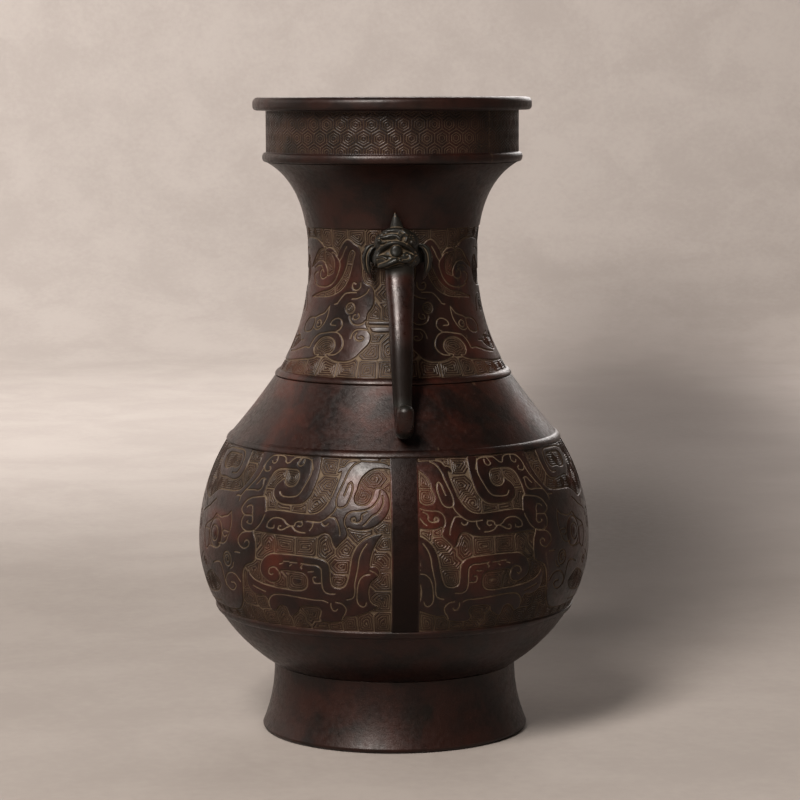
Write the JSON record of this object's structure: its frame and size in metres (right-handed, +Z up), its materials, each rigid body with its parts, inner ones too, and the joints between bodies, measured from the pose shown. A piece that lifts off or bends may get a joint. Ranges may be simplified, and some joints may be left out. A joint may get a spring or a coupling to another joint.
{
  "type": "hu wine jar",
  "caption": "Pear-shaped cast bronze jar with a flared mouth, tall collar, raised ribs, flared foot ring and beast-head handles with hanging trunks.",
  "frame": {"origin": "centre of the foot ring's underside, on the surface that the jar stands on", "axes": "+Z up along the jar's axis; the two handles lie on +X and -X; the faces of the ornament look to +Y and -Y"},
  "size_m": [0.26, 0.26, 0.42],
  "materials": {
    "bronze_body": "dark brown patina, satin, with pale dust in the recesses",
    "bronze_handle": "dark brown patina, rubbed smooth, satin",
    "bronze_fitting": "dull as cast"
  },
  "bodies": {
    "root": {"foot_ring": "bronze_body", "base_plate": "bronze_fitting", "belly": "bronze_body", "neck": "bronze_body", "mouth_collar": "bronze_body", "handle_head_right": "bronze_handle", "handle_head_left": "bronze_handle", "handle_trunk_right": "bronze_handle", "handle_trunk_left": "bronze_handle", "head_pin_right": "bronze_fitting", "head_pin_left": "bronze_fitting", "tail_rivet_right": "bronze_fitting", "tail_rivet_left": "bronze_fitting"}
  },
  "joints": []
}
